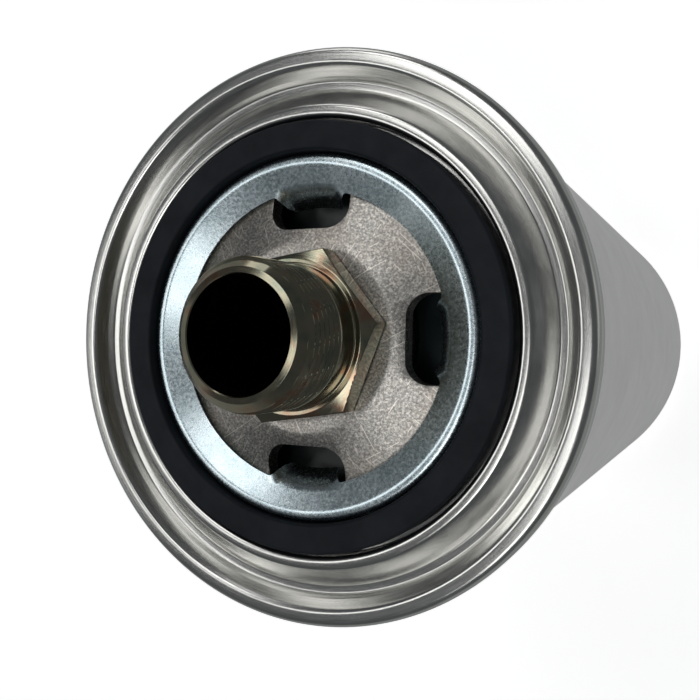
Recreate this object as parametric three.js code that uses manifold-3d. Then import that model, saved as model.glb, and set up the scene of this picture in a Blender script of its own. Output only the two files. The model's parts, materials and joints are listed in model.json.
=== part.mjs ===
// Spin-on oil filter with a male threaded nipple, in millimetres.
// It stands on its closed end: +Z is the filter's axis, and z = 0 is the foot of the can.
import * as THREE from 'three';
import { mergeVertices } from 'three/addons/utils/BufferGeometryUtils.js';
import Module from 'manifold-3d';

const wasm = await Module();
wasm.setup();

// ---- Driving dimensions -------------------------------------------------------------------

const GAP = 0.3; // between pieces that touch
const ROUND = 36; // sides of the large round pieces
const NIPPLE_ROUND = 24;
const SMALL_ROUND = 24; // sides of the valve pieces

const SEAM_Z = 200; // widest circle of the seam bead
const SEAM_R = 49;
const CAN_R = 47.3;
const CAN_SHEET = 0.6;
const CAN_CORNER_R = 9.5;
const BOSS_R = 15; // pressed-in centre of the closed end
const BOSS_H = 2.5;

const LID_SHEET = 0.8;
const HEM_DROP = 3.3; // the lid's folded hem, below the bead
const BEAD_TOP = 1.2; // middle of the sheet over the bead and over the ring's ridge
const BEAD_INNER_R = 46.4; // where the bead's top turns down inwards
const CREASE_R = 44.5;
const VALLEY_R = [41, 42.6];
const VALLEY_DEPTH = 2.5;
const LIP_R = 38.4; // ridge that keeps the gasket in from outside
const LIP_Z = SEAM_Z + 1.5;
const CHANNEL_R = [31, 37.2]; // walls of the gasket channel
const CHANNEL_Z = SEAM_Z - 2.4; // its floor
const RIDGE_R = 29.2; // top of the ring's ridge
const RING_INNER_R = 25.4;
const RING_Z = SEAM_Z; // inner edge of the ring between gasket and plate
const TAB_DROP = 3.4; // the ring's tabs reach this far down into the slots

const GASKET_R = [31.9, 36.5];
const GASKET_Z = SEAM_Z + 2.9; // sealing face

const PLATE_Z = SEAM_Z - 1; // top face next to the ring
const PLATE_RISE = 2.2; // the plate is domed: it rises this much towards the nipple
const RISE_R = 25; // from here inwards
const PLATE_T = 3.2;
const PLATE_R = 45.8;
const PLATE_STEP = 2.5; // the plate's rim lies this much lower
const STEP_R = [26.8, 29.3];
const HUB_R = 16.5;
const HUB_H = 9;
const SLOT_WIDTH = 15;
const SLOT_R = [18.5, 27.5]; // nearest and farthest from the axis
const SLOT_CORNER_R = 3.8;
const SLOT_COUNT = 4;
const SLOT_TURN = THREE.MathUtils.degToRad(-1.1);

const NIPPLE_TOP_Z = SEAM_Z + 21.4;
const NIPPLE_BOTTOM_Z = SEAM_Z - 21;
const BORE_R = 9.15;
const THREAD_R = 12; // M24 x 1.5
const THREAD_PITCH = 1.5;
const THREAD_DEPTH = 0.92;
const THREAD_FROM_Z = SEAM_Z + 10.5;
const THREAD_END_R = 10.25; // outer edge of the end face, inside its 45-degree chamfer
const HEX_FLATS = 27;
const HEX_TOP_Z = SEAM_Z + 6;
const HEX_TOP_R = 13; // its corners are chamfered at 30 degrees from here
const HEX_TURN = THREE.MathUtils.degToRad(8); // from +X to the nearest corner
const TUBE_R = 11; // the nipple's plain lower end

const ELEMENT_R = 42.2;
const CAP_SHEET = 0.6;
const CAP_RIM = 5;
const CAP_TOP_Z = SEAM_Z - 16;
const CAP_BOTTOM_Z = 22;
const CORE_R = 17; // perforated centre tube
const CORE_HOLE_R = 3;
const CORE_HOLE_RINGS = 5;
const CORE_HOLES_ROUND = 6;
const POTTING_H = 2.2;
const PLEATS = 48;
const PLEAT_R = [CORE_R + 0.8, 41];
const MEDIA_T = 0.8;

const CAP_HOLE_R = 15; // in the upper cap, for the grommet
const BYPASS_HOLE_R = 13; // in the lower cap
const BYPASS_PORT_R = 7;
const BYPASS_SEAL_R = 9.2;
const STEM_R = 2.5; // the poppet slides on this
const SEAL_COLLAR_R = 19; // the anti-drain valve's collar, and its lip
const SEAL_LIP_R = 35.4;
const SPRING_R = 20; // element spring, to the middle of its wire
const SPRING_WIRE = 2.2;
const SPRING_TURNS = 3;
const SPRING_SEAT_R = [16.6, 24];
const SPRING_SEAT_SHEET = 0.8;

// ---- Outlines -----------------------------------------------------------------------------

// Points along straight lines that meet in bends. A corner is [across, up, bend radius],
// and a larger bend has more steps.
function bentLine(corners, closed = false) {
  const last = corners.length - 1;
  const points = [];
  corners.forEach(([x, y, bend = 0], i) => {
    const corner = new THREE.Vector2(x, y);
    if (!bend || (!closed && (i === 0 || i === last))) {
      points.push(corner);
      return;
    }
    const [x0, y0] = corners[i ? i - 1 : last];
    const [x1, y1] = corners[i === last ? 0 : i + 1];
    const back = new THREE.Vector2(x0, y0).sub(corner).normalize();
    const on = new THREE.Vector2(x1, y1).sub(corner).normalize();
    const half = Math.acos(THREE.MathUtils.clamp(back.dot(on), -1, 1)) / 2;
    const sweep = Math.sign(on.cross(back)) * (Math.PI - 2 * half);
    const centre = back.clone().add(on).setLength(bend / Math.sin(half)).add(corner);
    const start = back.multiplyScalar(bend / Math.tan(half)).add(corner).sub(centre);
    const steps = Math.round(Math.sqrt(2 * bend));
    for (let k = 0; k <= steps; k++) {
      points.push(start.clone().rotateAround(new THREE.Vector2(), (sweep * k) / steps).add(centre));
    }
  });
  return points;
}

// The closed outline of a sheet that follows a line, half its thickness to each side.
function sheetOutline(line, thickness) {
  const side = (sign) =>
    line.map((point, i) => {
      const a = line[Math.max(i - 1, 0)];
      const b = line[Math.min(i + 1, line.length - 1)];
      const before = (i ? point.clone().sub(a) : b.clone().sub(point)).normalize();
      const after = (i < line.length - 1 ? b.clone().sub(point) : before.clone()).normalize();
      const normal = new THREE.Vector2(before.y + after.y, -before.x - after.x).normalize();
      const mitre = thickness / 2 / (normal.x * before.y - normal.y * before.x);
      return normal.multiplyScalar(sign * mitre).add(point);
    });
  return [...side(1), ...side(-1).reverse()];
}

// ---- Solids -------------------------------------------------------------------------------

// Turns an outline of [radius, height] points round the Z axis.
function turned(points, sides = ROUND) {
  const open = points[0].x === 0 && points[points.length - 1].x === 0;
  const outline = open ? points : [...points, points[0].clone()];
  return new THREE.LatheGeometry(outline, sides).rotateX(Math.PI / 2);
}

// A flat ring or disc with a rectangular section.
function washer(inner, outer, bottom, top, sides = ROUND) {
  return turned(bentLine([[inner, bottom], [outer, bottom], [outer, top], [inner, top]]), sides);
}

// Sheet metal turned round the Z axis, from the corners of its middle line.
function pressing(corners, thickness, sides = ROUND) {
  return turned(sheetOutline(bentLine(corners), thickness), sides);
}

// An outline in the XY plane, pulled up from one height to another.
function prism(shape, bottom, top) {
  const options = { depth: top - bottom, bevelEnabled: false, curveSegments: 3 };
  return new THREE.ExtrudeGeometry(shape, options).translate(0, 0, bottom);
}

// A closed geometry as a manifold solid, without the faces that shrink to nothing on an axis.
function solid(geometry) {
  const bare = new THREE.BufferGeometry();
  bare.setAttribute('position', geometry.getAttribute('position'));
  bare.setIndex(geometry.index);
  const merged = mergeVertices(bare, 1e-4);
  const corners = merged.index.array;
  const faces = [];
  for (let i = 0; i < corners.length; i += 3) {
    const [a, b, c] = corners.slice(i, i + 3);
    if (a !== b && b !== c && c !== a) faces.push(a, b, c);
  }
  const vertProperties = merged.getAttribute('position').array;
  return new wasm.Manifold(new wasm.Mesh({ numProp: 3, vertProperties, triVerts: new Uint32Array(faces) }));
}

// A manifold solid back as a geometry.
function surface(manifold) {
  const mesh = manifold.getMesh();
  const geometry = new THREE.BufferGeometry();
  geometry.setAttribute('position', new THREE.BufferAttribute(mesh.vertProperties, 3));
  geometry.setIndex(new THREE.BufferAttribute(mesh.triVerts, 1));
  geometry.computeVertexNormals();
  return geometry;
}

// A helix round the Z axis. Its frames keep a section's first axis pointing outwards.
class Helix extends THREE.Curve {
  constructor(radius, bottom, top, turns) {
    super();
    Object.assign(this, { radius, bottom, top, turns });
  }

  getPoint(t, target = new THREE.Vector3()) {
    const angle = 2 * Math.PI * this.turns * t;
    const height = THREE.MathUtils.lerp(this.bottom, this.top, t);
    return target.set(this.radius * Math.cos(angle), this.radius * Math.sin(angle), height);
  }

  computeFrenetFrames(segments) {
    const steps = Array.from({ length: segments + 1 }, (_, i) => i / segments);
    const tangents = steps.map((t) => this.getTangentAt(t));
    const normals = steps.map((t) => this.getPointAt(t).setZ(0).normalize());
    const binormals = tangents.map((tangent, i) => tangent.clone().cross(normals[i]));
    return { tangents, normals, binormals };
  }
}

// A section swept along a helix.
function coil(shape, helix, stepsPerTurn) {
  const steps = helix.turns * stepsPerTurn;
  return new THREE.ExtrudeGeometry(shape, { steps, curveSegments: 3, extrudePath: helix });
}

function wireSpring(radius, wire, bottom, top, turns) {
  const section = new THREE.Shape().absarc(0, 0, wire / 2, 0, 2 * Math.PI);
  return coil(section, new Helix(radius, bottom + wire / 2, top - wire / 2, turns), 16);
}

// ---- Materials ----------------------------------------------------------------------------

function finish(color, roughness, metalness) {
  return new THREE.MeshStandardMaterial({ color, roughness, metalness });
}

const canPaint = finish('#c9c8c4', 0.35, 0.1);
const burnishedSteel = finish('#a9a8a3', 0.3, 1);
const plateSteel = finish('#8d8478', 0.45, 1);
const oliveZinc = finish('#8c7c48', 0.25, 1);
const gasketRubber = finish('#1d2024', 0.6, 0);
const valveRubber = finish('#23292b', 0.5, 0);
const tinplate = finish('#b8b9b6', 0.35, 1);
const springSteel = finish('#6f6e6b', 0.35, 1);
const mediaPaper = finish('#c9b27a', 0.9, 0);
const potting = finish('#8a4a35', 0.6, 0);
const sealant = finish('#5f6b5e', 0.8, 0);

const group = new THREE.Group();

function add(name, geometry, material) {
  const mesh = new THREE.Mesh(geometry, material);
  mesh.name = name;
  group.add(mesh);
}

// ---- Can and double seam ------------------------------------------------------------------

function canShell() {
  const half = CAN_SHEET / 2;
  const wall = CAN_R - half;
  return pressing([
    [0, BOSS_H + half],
    [BOSS_R, BOSS_H + half, 2.5],
    [BOSS_R + BOSS_H, half, 2.5],
    [wall, half, CAN_CORNER_R - half],
    [wall, SEAM_Z - 0.7, 0.6],
    [CAN_R + 0.85, SEAM_Z - 0.7],
  ], CAN_SHEET);
}

// Sealing compound between the can's flange and the lid's bead.
function seamCompound() {
  return washer(CAN_R - 0.5, CAN_R + 0.6, SEAM_Z - 0.25, SEAM_Z + 0.15);
}

// The lid's middle line: hem, seam bead, ridges, gasket channel, then the ring over the plate.
function lidLine() {
  const half = LID_SHEET / 2;
  const outer = SEAM_R - half;
  const top = SEAM_Z + BEAD_TOP;
  return [
    [CAN_R + GAP, SEAM_Z - HEM_DROP],
    [outer, SEAM_Z - HEM_DROP],
    [outer, top, 1.4],
    [BEAD_INNER_R, top, 0.6],
    [CREASE_R, SEAM_Z - 1],
    [VALLEY_R[1], SEAM_Z - VALLEY_DEPTH, 0.6],
    [VALLEY_R[0], SEAM_Z - VALLEY_DEPTH],
    [LIP_R + 0.5, LIP_Z - half],
    [CHANNEL_R[1] + half, LIP_Z - half],
    [CHANNEL_R[1] + half, CHANNEL_Z - half],
    [CHANNEL_R[0] - half, CHANNEL_Z - half],
    [CHANNEL_R[0] - half, top, 0.6],
    [RIDGE_R, top - 0.2, 0.6],
    [RING_INNER_R, RING_Z - half],
  ];
}

// A tab of the ring's inner edge, pressed down into one inlet slot.
function slotTab() {
  const outer = RING_INNER_R + 0.2;
  const reach = Math.asin((SLOT_WIDTH / 2 - 2 * GAP) / outer);
  const shape = new THREE.Shape();
  shape.absarc(0, 0, outer, -reach, reach, false);
  shape.absarc(0, 0, outer - 1, reach, -reach, true);
  return prism(shape, RING_Z - TAB_DROP, RING_Z - 0.1);
}

function seamingLid() {
  let lid = solid(pressing(lidLine(), LID_SHEET));
  for (let i = 0; i < SLOT_COUNT; i++) {
    const turn = SLOT_TURN + (i * 2 * Math.PI) / SLOT_COUNT;
    lid = lid.add(solid(slotTab().rotateZ(turn)));
  }
  return surface(lid);
}

function mountingGasket() {
  const [inner, outer] = GASKET_R;
  const foot = CHANNEL_Z + GAP;
  return turned(bentLine([
    [inner, foot],
    [outer, foot],
    [outer, GASKET_Z, 0.5],
    [inner, GASKET_Z, 0.5],
  ], true));
}

// ---- Base plate and nipple ----------------------------------------------------------------

function slotShape() {
  const half = SLOT_WIDTH / 2;
  const [near, far] = SLOT_R;
  return new THREE.Shape(bentLine([
    [near, -half, SLOT_CORNER_R],
    [far, -half, SLOT_CORNER_R],
    [far, half, SLOT_CORNER_R],
    [near, half, SLOT_CORNER_R],
  ], true));
}

function basePlate() {
  const bottom = PLATE_Z - PLATE_T;
  const [near, far] = STEP_R;
  const under = 1.4; // the underside's bends lie this much nearer the axis
  let plate = solid(turned(bentLine([
    [THREAD_R + GAP, PLATE_Z - HUB_H],
    [HUB_R, PLATE_Z - HUB_H],
    [HUB_R, bottom + PLATE_RISE],
    [near - under, bottom],
    [far - under, bottom - PLATE_STEP],
    [PLATE_R, bottom - PLATE_STEP],
    [PLATE_R, PLATE_Z - PLATE_STEP],
    [far, PLATE_Z - PLATE_STEP],
    [near, PLATE_Z],
    [RISE_R, PLATE_Z],
    [HUB_R, PLATE_Z + PLATE_RISE],
    [THREAD_R + GAP, PLATE_Z + PLATE_RISE],
  ], true)));
  for (let i = 0; i < SLOT_COUNT; i++) {
    const turn = SLOT_TURN + (i * 2 * Math.PI) / SLOT_COUNT;
    const slot = prism(slotShape(), bottom - 5, PLATE_Z + PLATE_RISE + 1).rotateZ(turn);
    plate = plate.subtract(solid(slot));
  }
  return surface(plate);
}

// The nipple without its hexagon and thread ridge.
function nippleBody() {
  const root = THREAD_R - THREAD_DEPTH;
  return turned(bentLine([
    [BORE_R, NIPPLE_BOTTOM_Z],
    [TUBE_R, NIPPLE_BOTTOM_Z],
    [TUBE_R, PLATE_Z - HUB_H - GAP],
    [THREAD_R, PLATE_Z - HUB_H + 1],
    [THREAD_R, THREAD_FROM_Z - 0.5],
    [root, THREAD_FROM_Z + 0.4],
    [root, NIPPLE_TOP_Z],
    [BORE_R, NIPPLE_TOP_Z],
  ], true), NIPPLE_ROUND);
}

function hexagon() {
  const corner = HEX_FLATS / 2 / Math.cos(Math.PI / 6);
  const bottom = PLATE_Z + PLATE_RISE + GAP;
  const block = new THREE.CylinderGeometry(corner, corner, HEX_TOP_Z - bottom, 6);
  block.rotateX(Math.PI / 2).rotateZ(Math.PI / 2 + HEX_TURN);
  block.translate(0, 0, (bottom + HEX_TOP_Z) / 2);
  const limit = corner + 1; // beyond the corners
  const chamfer = turned(bentLine([
    [0, bottom - 1],
    [limit, bottom - 1],
    [limit, HEX_TOP_Z - (limit - HEX_TOP_R) * Math.tan(Math.PI / 6)],
    [HEX_TOP_R, HEX_TOP_Z],
    [0, HEX_TOP_Z],
  ]));
  const bore = washer(0, BORE_R + 0.5, bottom - 2, HEX_TOP_Z + 1, NIPPLE_ROUND);
  return solid(block).intersect(solid(chamfer)).subtract(solid(bore));
}

function threadRidge() {
  const root = THREAD_R - THREAD_DEPTH - 0.2;
  const half = THREAD_PITCH * 0.46;
  const section = new THREE.Shape([
    new THREE.Vector2(root - THREAD_R, half),
    new THREE.Vector2(root - THREAD_R, -half),
    new THREE.Vector2(0, -half / 5),
    new THREE.Vector2(0, half / 5),
  ]);
  const bottom = THREAD_FROM_Z + 0.2;
  const turns = 7.5; // past the end face, which cuts the ridge off
  return coil(section, new Helix(THREAD_R, bottom, bottom + turns * THREAD_PITCH, turns), NIPPLE_ROUND);
}

// The space the nipple may fill: the threaded end is chamfered.
function nippleEnvelope() {
  const clear = THREAD_R + 1;
  return turned(bentLine([
    [BORE_R, NIPPLE_BOTTOM_Z],
    [HEX_FLATS, NIPPLE_BOTTOM_Z],
    [HEX_FLATS, HEX_TOP_Z],
    [clear, THREAD_FROM_Z],
    [clear, NIPPLE_TOP_Z - (clear - THREAD_END_R)],
    [THREAD_END_R, NIPPLE_TOP_Z],
    [BORE_R, NIPPLE_TOP_Z],
  ], true), NIPPLE_ROUND);
}

function threadedNipple() {
  const whole = solid(nippleBody()).add(hexagon()).add(solid(threadRidge()));
  return surface(whole.intersect(solid(nippleEnvelope())));
}

// ---- Rubber seals inside ------------------------------------------------------------------

// The anti-drain-back valve: a collar clamped under the hub, and a skirt that closes the slots.
function antiDrainValve() {
  const hubBottom = PLATE_Z - HUB_H;
  const seat = PLATE_Z - PLATE_T - PLATE_STEP;
  return turned(bentLine([
    [THREAD_R + GAP, CAP_TOP_Z + GAP],
    [SEAL_COLLAR_R, CAP_TOP_Z + GAP],
    [SEAL_COLLAR_R + 1, hubBottom - 1.5],
    [SEAL_LIP_R - 1, seat - 2.4],
    [SEAL_LIP_R, seat - GAP],
    [SEAL_LIP_R - 1.6, seat - GAP],
    [SEAL_LIP_R - 2.4, seat - 1.2],
    [HUB_R + 1.5, hubBottom + 0.4],
    [HUB_R + GAP, hubBottom + 0.4],
    [HUB_R + GAP, hubBottom - GAP],
    [THREAD_R + GAP, hubBottom - GAP],
  ], true));
}

function nippleGrommet() {
  const top = CAP_TOP_Z;
  const foot = top - 3.6;
  const shoulder = top - CAP_SHEET - GAP;
  const inner = TUBE_R + GAP;
  const neck = CAP_HOLE_R - GAP - 0.1;
  return turned(bentLine([
    [inner, foot],
    [CAP_HOLE_R + 1, foot],
    [CAP_HOLE_R + 1, shoulder],
    [neck, shoulder],
    [neck, top],
    [inner + 0.4, top],
    [inner, top - 1],
  ], true), SMALL_ROUND);
}

// ---- Filter element -----------------------------------------------------------------------

// A sheet cap over one end of the pleats, with a hole in its middle and a rim over the outside.
function endCap(outerFace, direction, hole) {
  const middle = outerFace - (direction * CAP_SHEET) / 2;
  const wall = ELEMENT_R - CAP_SHEET / 2;
  const corners = [
    [hole, middle],
    [wall, middle],
    [wall, middle - direction * CAP_RIM],
  ];
  return pressing(direction < 0 ? corners : corners.reverse(), CAP_SHEET);
}

function pottingRing(bottom) {
  return washer(CORE_R + GAP, ELEMENT_R - 3 * CAP_SHEET, bottom, bottom + POTTING_H);
}

// One folded edge of the paper, as seen from above. The sheet lies between two of these.
function foldedEdge(tipR, valleyR, turn) {
  const points = [];
  for (let i = 0; i < PLEATS; i++) {
    const angle = turn + (i * 2 * Math.PI) / PLEATS;
    const half = MEDIA_T / tipR;
    const next = angle + Math.PI / PLEATS;
    for (const [radius, at] of [[tipR, angle - half], [tipR, angle + half], [valleyR, next]]) {
      points.push(new THREE.Vector2(radius * Math.cos(at), radius * Math.sin(at)));
    }
  }
  return points;
}

function pleatedMedia() {
  const [inner, outer] = PLEAT_R;
  const paper = new THREE.Shape(foldedEdge(outer, inner + MEDIA_T, 0));
  paper.holes.push(new THREE.Path(foldedEdge(inner, outer - MEDIA_T, Math.PI / PLEATS)));
  const inset = CAP_SHEET + GAP + POTTING_H + GAP;
  return prism(paper, CAP_BOTTOM_Z + inset, CAP_TOP_Z - inset);
}

// A channel crimped over the pleat where the two ends of the paper meet.
function seamClip() {
  const legIn = PLEAT_R[1] - 4;
  const gap = MEDIA_T + GAP + 0.2;
  const sheet = 0.4;
  const crown = PLEAT_R[1] + GAP;
  const inset = CAP_SHEET + CAP_RIM + 1;
  const shape = new THREE.Shape(bentLine([
    [legIn, gap],
    [crown, gap],
    [crown, -gap],
    [legIn, -gap],
    [legIn, -gap - sheet],
    [crown + sheet, -gap - sheet, 0.3],
    [crown + sheet, gap + sheet, 0.3],
    [legIn, gap + sheet],
  ], true));
  return prism(shape, CAP_BOTTOM_Z + inset, CAP_TOP_Z - inset);
}

function centreTube() {
  const bottom = CAP_BOTTOM_Z + CAP_SHEET + GAP;
  const top = CAP_TOP_Z - CAP_SHEET - GAP;
  let tube = solid(washer(CORE_R - CAP_SHEET, CORE_R, bottom, top, NIPPLE_ROUND));
  const rowGap = (top - bottom) / (CORE_HOLE_RINGS + 1);
  for (let row = 1; row <= CORE_HOLE_RINGS; row++) {
    for (let i = 0; i < CORE_HOLES_ROUND; i++) {
      const punch = new THREE.CylinderGeometry(CORE_HOLE_R, CORE_HOLE_R, 6, 6);
      const turn = ((i + (row % 2) / 2) * 2 * Math.PI) / CORE_HOLES_ROUND;
      punch.translate(0, CORE_R, 0).rotateZ(turn).translate(0, 0, bottom + row * rowGap);
      tube = tube.subtract(solid(punch));
    }
  }
  return surface(tube);
}

// ---- Bypass valve in the element's lower cap ----------------------------------------------

const FLANGE_TOP_Z = CAP_BOTTOM_Z + CAP_SHEET + GAP + 1;
const POPPET_Z = FLANGE_TOP_Z + GAP; // lower face of the poppet's seal, on its seat
const CAGE_TOP_Z = POPPET_Z + 16;
const CAGE_R = 12;
const SPIGOT_R = 3.2; // under the poppet, through its seal

function bypassSeat() {
  return washer(BYPASS_PORT_R, CORE_R - CAP_SHEET - GAP, FLANGE_TOP_Z - 1, FLANGE_TOP_Z, SMALL_ROUND);
}

function bypassSeal() {
  return washer(SPIGOT_R + GAP, BYPASS_SEAL_R, POPPET_Z, POPPET_Z + 1, SMALL_ROUND);
}

// A disc with a stem that slides in the cage's top hole, and a spigot that holds the seal.
function bypassPoppet() {
  const face = POPPET_Z + 1 + GAP;
  const disc = BYPASS_SEAL_R + 0.4;
  return turned(bentLine([
    [0, POPPET_Z - 0.2],
    [SPIGOT_R, POPPET_Z - 0.2],
    [SPIGOT_R, face],
    [disc, face],
    [disc, face + 1, 0.4],
    [STEM_R, face + 1, 0.8],
    [STEM_R, CAGE_TOP_Z + 2, 0.6],
    [0, CAGE_TOP_Z + 2],
  ]), SMALL_ROUND);
}

// An inverted cup with three windows, standing on the seat's flange.
function bypassCage() {
  const half = CAP_SHEET / 2;
  const foot = FLANGE_TOP_Z + GAP;
  let cage = solid(pressing([
    [15.6, foot + half],
    [CAGE_R, foot + half, 0.8],
    [CAGE_R, CAGE_TOP_Z - half, 1],
    [STEM_R + GAP, CAGE_TOP_Z - half],
  ], CAP_SHEET, SMALL_ROUND));
  for (let i = 0; i < 3; i++) {
    const window = new THREE.BoxGeometry(10, 13, 8);
    window.translate(CAGE_R, 0, (foot + CAGE_TOP_Z) / 2).rotateZ((i * 2 * Math.PI) / 3);
    cage = cage.subtract(solid(window));
  }
  return surface(cage);
}

function bypassSpring() {
  const bottom = POPPET_Z + 2 + 2 * GAP;
  return wireSpring(6, 1.1, bottom, CAGE_TOP_Z - CAP_SHEET - GAP, 4);
}

// ---- Element spring and its seat ----------------------------------------------------------

const SPRING_SEAT_Z = CAP_BOTTOM_Z - GAP; // upper face of the seat

function springSeat() {
  const middle = SPRING_SEAT_Z - SPRING_SEAT_SHEET / 2;
  const [collar, rim] = SPRING_SEAT_R;
  return pressing([
    [collar, middle - 3],
    [collar, middle, 1.2],
    [rim, middle],
  ], SPRING_SEAT_SHEET, SMALL_ROUND);
}

function elementSpring() {
  const top = SPRING_SEAT_Z - SPRING_SEAT_SHEET - GAP;
  return wireSpring(SPRING_R, SPRING_WIRE, CAN_SHEET + GAP, top, SPRING_TURNS);
}

// ---- Assembly -----------------------------------------------------------------------------

add('can_shell', canShell(), canPaint);
add('seam_compound', seamCompound(), sealant);
add('seaming_lid', seamingLid(), burnishedSteel);
add('mounting_gasket', mountingGasket(), gasketRubber);
add('base_plate', basePlate(), plateSteel);
add('threaded_nipple', threadedNipple(), oliveZinc);
add('anti_drain_valve', antiDrainValve(), valveRubber);
add('nipple_grommet', nippleGrommet(), valveRubber);
add('top_end_cap', endCap(CAP_TOP_Z, 1, CAP_HOLE_R), tinplate);
add('bottom_end_cap', endCap(CAP_BOTTOM_Z, -1, BYPASS_HOLE_R), tinplate);
add('top_potting', pottingRing(CAP_TOP_Z - CAP_SHEET - GAP - POTTING_H), potting);
add('bottom_potting', pottingRing(CAP_BOTTOM_Z + CAP_SHEET + GAP), potting);
add('pleated_media', pleatedMedia(), mediaPaper);
add('media_seam_clip', seamClip(), tinplate);
add('centre_tube', centreTube(), tinplate);
add('bypass_seat', bypassSeat(), tinplate);
add('bypass_seal', bypassSeal(), valveRubber);
add('bypass_poppet', bypassPoppet(), tinplate);
add('bypass_spring', bypassSpring(), springSteel);
add('bypass_cage', bypassCage(), tinplate);
add('spring_seat', springSeat(), tinplate);
add('element_spring', elementSpring(), springSteel);

export default group;
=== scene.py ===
"""A spin-on oil filter with a male threaded nipple, standing on its closed end.

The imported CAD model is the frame. Every shown piece is a fine mesh turned, coiled or cut around
that frame, with a procedural material. Lengths in this file are millimetres until a mesh is made.
"""
import json
import math
from collections import namedtuple

import bpy
import numpy as np
from mathutils import Euler, Matrix, Vector


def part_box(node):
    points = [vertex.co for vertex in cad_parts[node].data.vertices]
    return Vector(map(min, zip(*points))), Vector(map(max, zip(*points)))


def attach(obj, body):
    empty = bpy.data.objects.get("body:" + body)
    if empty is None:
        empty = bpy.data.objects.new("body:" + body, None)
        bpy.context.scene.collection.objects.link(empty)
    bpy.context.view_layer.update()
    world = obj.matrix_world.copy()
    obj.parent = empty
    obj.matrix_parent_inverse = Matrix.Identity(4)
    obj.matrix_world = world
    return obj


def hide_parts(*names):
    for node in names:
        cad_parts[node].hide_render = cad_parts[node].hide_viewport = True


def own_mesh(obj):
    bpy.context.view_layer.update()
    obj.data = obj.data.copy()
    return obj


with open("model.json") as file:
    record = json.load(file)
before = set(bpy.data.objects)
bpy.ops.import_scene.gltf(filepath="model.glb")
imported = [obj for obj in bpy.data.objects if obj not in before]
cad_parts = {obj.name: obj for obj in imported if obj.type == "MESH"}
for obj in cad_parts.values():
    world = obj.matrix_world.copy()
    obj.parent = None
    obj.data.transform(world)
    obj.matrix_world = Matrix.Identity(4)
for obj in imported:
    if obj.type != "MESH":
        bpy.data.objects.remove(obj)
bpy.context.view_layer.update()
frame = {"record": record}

MM = 0.001

# ---- Places and sizes, from the frame -------------------------------------------------------

Box = namedtuple("Box", "radius low high")


def box_of(node):
    """A round node's radius and its lowest and highest level, in millimetres."""
    low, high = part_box(node)
    return Box(high.x / MM, low.z / MM, high.z / MM)


CAN = box_of("can_shell")
LID = box_of("seaming_lid")
GASKET = box_of("mounting_gasket")
PLATE = box_of("base_plate")
NIPPLE = box_of("threaded_nipple")
VALVE = box_of("anti_drain_valve")

GASKET_PROUD = 2.9  # its sealing face, above the seam
SEAM_OVERHANG = 1.7  # the bead reaches this much further out than the can's wall
SEAM_Z = GASKET.high - GASKET_PROUD  # widest circle of the seam bead
CAN_R = LID.radius - SEAM_OVERHANG
CAN_SHEET = 0.6
LID_SHEET = 0.8
PLATE_T = 3.2
PLATE_RISE = 2.2  # the plate is domed: it rises this much towards the nipple
PLATE_TOP = PLATE.high - PLATE_RISE  # its level next to the ring
PLATE_STEP = 2.5  # its rim lies this much lower
HUB_R = 16.5
RING_INNER_R = 25.4
RIDGE_R = 29.6  # the ring between plate and gasket rises outwards to here
RIDGE_UP = 1.15  # the middle of its sheet there, above the seam
RING_SLOPE = (RIDGE_UP + LID_SHEET / 2) / (RIDGE_R - RING_INNER_R)
SLOT_WIDTH = 15.0
SLOT_CORNER_R = 3.8
SLOT_NEAR_R = 18.5
SLOT_FAR_R = 27.5
SLOT_TURNS = [math.radians(-1.1 + 90 * i) for i in range(4)]
BORE_R = 9.15
THREAD_R = 12.0
THREAD_PITCH = 1.5
THREAD_DEPTH = 0.92
THREAD_FROM = 10.2  # above the seam
THREAD_END_R = 10.25  # outer edge of the end face, inside its chamfer
HEX_FLATS = 27.0
HEX_TURN = math.radians(8)  # from +X to the nearest corner

GAP = 0.3  # between pieces that touch
CAP_SHEET = 0.6
CORE_R = box_of("centre_tube").radius

SIDES = 256
SHARP = math.radians(35)  # edges that turn by more than this stay sharp

# ---- Outlines -------------------------------------------------------------------------------


def bent_line(corners, closed=False, step=0.25):
    """Points along straight lines that meet in bends. A corner is (across, up, bend radius)."""
    points = []
    last = len(corners) - 1
    for i, (x, y, *rest) in enumerate(corners):
        corner = Vector((x, y))
        bend = rest[0] if rest else 0
        if not bend or (not closed and i in (0, last)):
            points.append(corner)
            continue
        back = (Vector(corners[i - 1][:2]) - corner).normalized()
        on = (Vector(corners[(i + 1) % len(corners)][:2]) - corner).normalized()
        half = back.angle(on) / 2
        centre = corner + (back + on).normalized() * bend / math.sin(half)
        start = corner + back * bend / math.tan(half) - centre
        sweep = math.copysign(math.pi - 2 * half, on.x * back.y - on.y * back.x)
        steps = max(3, math.ceil(abs(sweep) * bend / step))
        for k in range(steps + 1):
            angle = sweep * k / steps
            turned_x = start.x * math.cos(angle) - start.y * math.sin(angle)
            turned_y = start.x * math.sin(angle) + start.y * math.cos(angle)
            points.append(centre + Vector((turned_x, turned_y)))
    return np.array(points)


def filled_in(points, longest):
    """The same line with more points on the stretches that are longer than that."""
    made = []
    for a, b in zip(points, points[1:]):
        count = max(1, math.ceil(np.linalg.norm(b - a) / longest))
        made.extend(a + (b - a) * k / count for k in range(count))
    return np.array([*made, points[-1]])


def sheet_outline(line, thickness):
    """The closed outline of a sheet that follows a line, half its thickness to each side."""
    along = np.diff(line, axis=0)
    along /= np.linalg.norm(along, axis=1)[:, None]
    before = np.vstack([along[:1], along])
    after = np.vstack([along, along[-1:]])
    normal = np.stack([before[:, 1] + after[:, 1], -before[:, 0] - after[:, 0]], 1)
    normal /= np.linalg.norm(normal, axis=1)[:, None]
    mitre = thickness / 2 / (normal[:, 0] * before[:, 1] - normal[:, 1] * before[:, 0])
    offset = normal * mitre[:, None]
    return np.vstack([line + offset, (line - offset)[::-1]])


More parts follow.
